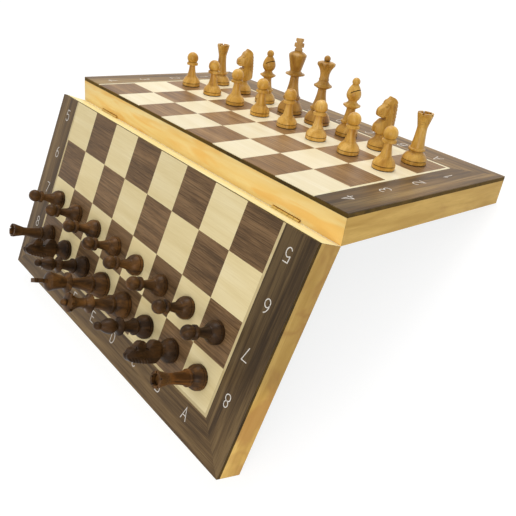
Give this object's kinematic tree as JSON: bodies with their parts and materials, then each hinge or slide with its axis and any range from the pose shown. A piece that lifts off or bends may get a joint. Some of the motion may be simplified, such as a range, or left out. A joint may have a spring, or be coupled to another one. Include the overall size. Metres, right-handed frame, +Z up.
{
  "type": "chess box with hinged lid",
  "caption": "Folding magnetic chess box: two shallow wooden trays hinged along the fold, a veneered chessboard on their outer faces and turned men that hold to it, set up as a tent.",
  "frame": {"origin": "middle of the ground rectangle that the tent-shaped box covers, on the ground", "axes": "+X along the fold, towards file a; +Y from the fold to the first rank; +Z up"},
  "size_m": [0.381, 0.338, 0.1302],
  "materials": {
    "walnut_veneer": "satin lacquer",
    "maple_veneer": "satin lacquer",
    "stringing": "satin lacquer",
    "border_veneer": "satin lacquer",
    "panel_core": "dark stained edge",
    "frame_wood": "satin lacquer",
    "steel_sheet": "mill finish",
    "felt": "napped felt",
    "hinge_brass": "satin",
    "magnet": "nickel plated",
    "boxwood": "clear lacquer, satin",
    "dark_wood": "dark stain, gloss lacquer"
  },
  "bodies": {
    "base": {"base_panel": "panel_core", "base_steel_sheet": "steel_sheet", "base_dark_squares": "walnut_veneer", "base_light_squares": "maple_veneer", "base_stringing": "stringing", "base_border": "border_veneer", "base_fold_wall": "frame_wood", "base_far_wall": "frame_wood", "base_side_walls": "frame_wood", "base_lining": "felt", "base_catch_magnets": "magnet", "base_hinge_leaves": "hinge_brass", "base_hinge_screws": "hinge_brass", "hinge_pins": "hinge_brass"},
    "lid": {"lid_panel": "panel_core", "lid_steel_sheet": "steel_sheet", "lid_dark_squares": "walnut_veneer", "lid_light_squares": "maple_veneer", "lid_stringing": "stringing", "lid_border": "border_veneer", "lid_fold_wall": "frame_wood", "lid_far_wall": "frame_wood", "lid_side_walls": "frame_wood", "lid_lining": "felt", "lid_catch_magnets": "magnet", "lid_hinge_leaves": "hinge_brass", "lid_hinge_screws": "hinge_brass"},
    "dark_rook_a": {"dark_rook_a": "dark_wood"},
    "dark_knight_b": {"dark_knight_b": "dark_wood"},
    "dark_bishop_c": {"dark_bishop_c": "dark_wood"},
    "dark_queen": {"dark_queen": "dark_wood"},
    "dark_king": {"dark_king": "dark_wood"},
    "dark_bishop_f": {"dark_bishop_f": "dark_wood"},
    "dark_knight_g": {"dark_knight_g": "dark_wood"},
    "dark_rook_h": {"dark_rook_h": "dark_wood"},
    "dark_pawn_a": {"dark_pawn_a": "dark_wood"},
    "dark_pawn_b": {"dark_pawn_b": "dark_wood"},
    "dark_pawn_c": {"dark_pawn_c": "dark_wood"},
    "dark_pawn_d": {"dark_pawn_d": "dark_wood"},
    "dark_pawn_e": {"dark_pawn_e": "dark_wood"},
    "dark_pawn_f": {"dark_pawn_f": "dark_wood"},
    "dark_pawn_g": {"dark_pawn_g": "dark_wood"},
    "dark_pawn_h": {"dark_pawn_h": "dark_wood"},
    "light_rook_a": {"light_rook_a": "boxwood"},
    "light_knight_b": {"light_knight_b": "boxwood"},
    "light_bishop_c": {"light_bishop_c": "boxwood"},
    "light_queen": {"light_queen": "boxwood"},
    "light_king": {"light_king": "boxwood"},
    "light_bishop_f": {"light_bishop_f": "boxwood"},
    "light_knight_g": {"light_knight_g": "boxwood"},
    "light_rook_h": {"light_rook_h": "boxwood"},
    "light_pawn_a": {"light_pawn_a": "boxwood"},
    "light_pawn_b": {"light_pawn_b": "boxwood"},
    "light_pawn_c": {"light_pawn_c": "boxwood"},
    "light_pawn_d": {"light_pawn_d": "boxwood"},
    "light_pawn_e": {"light_pawn_e": "boxwood"},
    "light_pawn_f": {"light_pawn_f": "boxwood"},
    "light_pawn_g": {"light_pawn_g": "boxwood"},
    "light_pawn_h": {"light_pawn_h": "boxwood"}
  },
  "joints": [
    {"name": "box_hinge", "type": "hinge", "parent": "base", "child": "lid", "pos_m": [0, 0, 0.11081], "axis": [1, 0, 0], "range_deg": [-108.84, 71.16]},
    {"name": "dark_rook_a_lift", "type": "slide", "parent": "base", "child": "dark_rook_a", "axis": [0, -0.5818, 0.8133], "range_m": [0, 0.08]},
    {"name": "dark_knight_b_lift", "type": "slide", "parent": "base", "child": "dark_knight_b", "axis": [0, -0.5818, 0.8133], "range_m": [0, 0.08]},
    {"name": "dark_bishop_c_lift", "type": "slide", "parent": "base", "child": "dark_bishop_c", "axis": [0, -0.5818, 0.8133], "range_m": [0, 0.08]},
    {"name": "dark_queen_lift", "type": "slide", "parent": "base", "child": "dark_queen", "axis": [0, -0.5818, 0.8133], "range_m": [0, 0.08]},
    {"name": "dark_king_lift", "type": "slide", "parent": "base", "child": "dark_king", "axis": [0, -0.5818, 0.8133], "range_m": [0, 0.08]},
    {"name": "dark_bishop_f_lift", "type": "slide", "parent": "base", "child": "dark_bishop_f", "axis": [0, -0.5818, 0.8133], "range_m": [0, 0.08]},
    {"name": "dark_knight_g_lift", "type": "slide", "parent": "base", "child": "dark_knight_g", "axis": [0, -0.5818, 0.8133], "range_m": [0, 0.08]},
    {"name": "dark_rook_h_lift", "type": "slide", "parent": "base", "child": "dark_rook_h", "axis": [0, -0.5818, 0.8133], "range_m": [0, 0.08]},
    {"name": "dark_pawn_a_lift", "type": "slide", "parent": "base", "child": "dark_pawn_a", "axis": [0, -0.5818, 0.8133], "range_m": [0, 0.08]},
    {"name": "dark_pawn_b_lift", "type": "slide", "parent": "base", "child": "dark_pawn_b", "axis": [0, -0.5818, 0.8133], "range_m": [0, 0.08]},
    {"name": "dark_pawn_c_lift", "type": "slide", "parent": "base", "child": "dark_pawn_c", "axis": [0, -0.5818, 0.8133], "range_m": [0, 0.08]},
    {"name": "dark_pawn_d_lift", "type": "slide", "parent": "base", "child": "dark_pawn_d", "axis": [0, -0.5818, 0.8133], "range_m": [0, 0.08]},
    {"name": "dark_pawn_e_lift", "type": "slide", "parent": "base", "child": "dark_pawn_e", "axis": [0, -0.5818, 0.8133], "range_m": [0, 0.08]},
    {"name": "dark_pawn_f_lift", "type": "slide", "parent": "base", "child": "dark_pawn_f", "axis": [0, -0.5818, 0.8133], "range_m": [0, 0.08]},
    {"name": "dark_pawn_g_lift", "type": "slide", "parent": "base", "child": "dark_pawn_g", "axis": [0, -0.5818, 0.8133], "range_m": [0, 0.08]},
    {"name": "dark_pawn_h_lift", "type": "slide", "parent": "base", "child": "dark_pawn_h", "axis": [0, -0.5818, 0.8133], "range_m": [0, 0.08]},
    {"name": "light_rook_a_lift", "type": "slide", "parent": "lid", "child": "light_rook_a", "axis": [0, 0.5818, 0.8133], "range_m": [0, 0.08]},
    {"name": "light_knight_b_lift", "type": "slide", "parent": "lid", "child": "light_knight_b", "axis": [0, 0.5818, 0.8133], "range_m": [0, 0.08]},
    {"name": "light_bishop_c_lift", "type": "slide", "parent": "lid", "child": "light_bishop_c", "axis": [0, 0.5818, 0.8133], "range_m": [0, 0.08]},
    {"name": "light_queen_lift", "type": "slide", "parent": "lid", "child": "light_queen", "axis": [0, 0.5818, 0.8133], "range_m": [0, 0.08]},
    {"name": "light_king_lift", "type": "slide", "parent": "lid", "child": "light_king", "axis": [0, 0.5818, 0.8133], "range_m": [0, 0.08]},
    {"name": "light_bishop_f_lift", "type": "slide", "parent": "lid", "child": "light_bishop_f", "axis": [0, 0.5818, 0.8133], "range_m": [0, 0.08]},
    {"name": "light_knight_g_lift", "type": "slide", "parent": "lid", "child": "light_knight_g", "axis": [0, 0.5818, 0.8133], "range_m": [0, 0.08]},
    {"name": "light_rook_h_lift", "type": "slide", "parent": "lid", "child": "light_rook_h", "axis": [0, 0.5818, 0.8133], "range_m": [0, 0.08]},
    {"name": "light_pawn_a_lift", "type": "slide", "parent": "lid", "child": "light_pawn_a", "axis": [0, 0.5818, 0.8133], "range_m": [0, 0.08]},
    {"name": "light_pawn_b_lift", "type": "slide", "parent": "lid", "child": "light_pawn_b", "axis": [0, 0.5818, 0.8133], "range_m": [0, 0.08]},
    {"name": "light_pawn_c_lift", "type": "slide", "parent": "lid", "child": "light_pawn_c", "axis": [0, 0.5818, 0.8133], "range_m": [0, 0.08]},
    {"name": "light_pawn_d_lift", "type": "slide", "parent": "lid", "child": "light_pawn_d", "axis": [0, 0.5818, 0.8133], "range_m": [0, 0.08]},
    {"name": "light_pawn_e_lift", "type": "slide", "parent": "lid", "child": "light_pawn_e", "axis": [0, 0.5818, 0.8133], "range_m": [0, 0.08]},
    {"name": "light_pawn_f_lift", "type": "slide", "parent": "lid", "child": "light_pawn_f", "axis": [0, 0.5818, 0.8133], "range_m": [0, 0.08]},
    {"name": "light_pawn_g_lift", "type": "slide", "parent": "lid", "child": "light_pawn_g", "axis": [0, 0.5818, 0.8133], "range_m": [0, 0.08]},
    {"name": "light_pawn_h_lift", "type": "slide", "parent": "lid", "child": "light_pawn_h", "axis": [0, 0.5818, 0.8133], "range_m": [0, 0.08]}
  ]
}
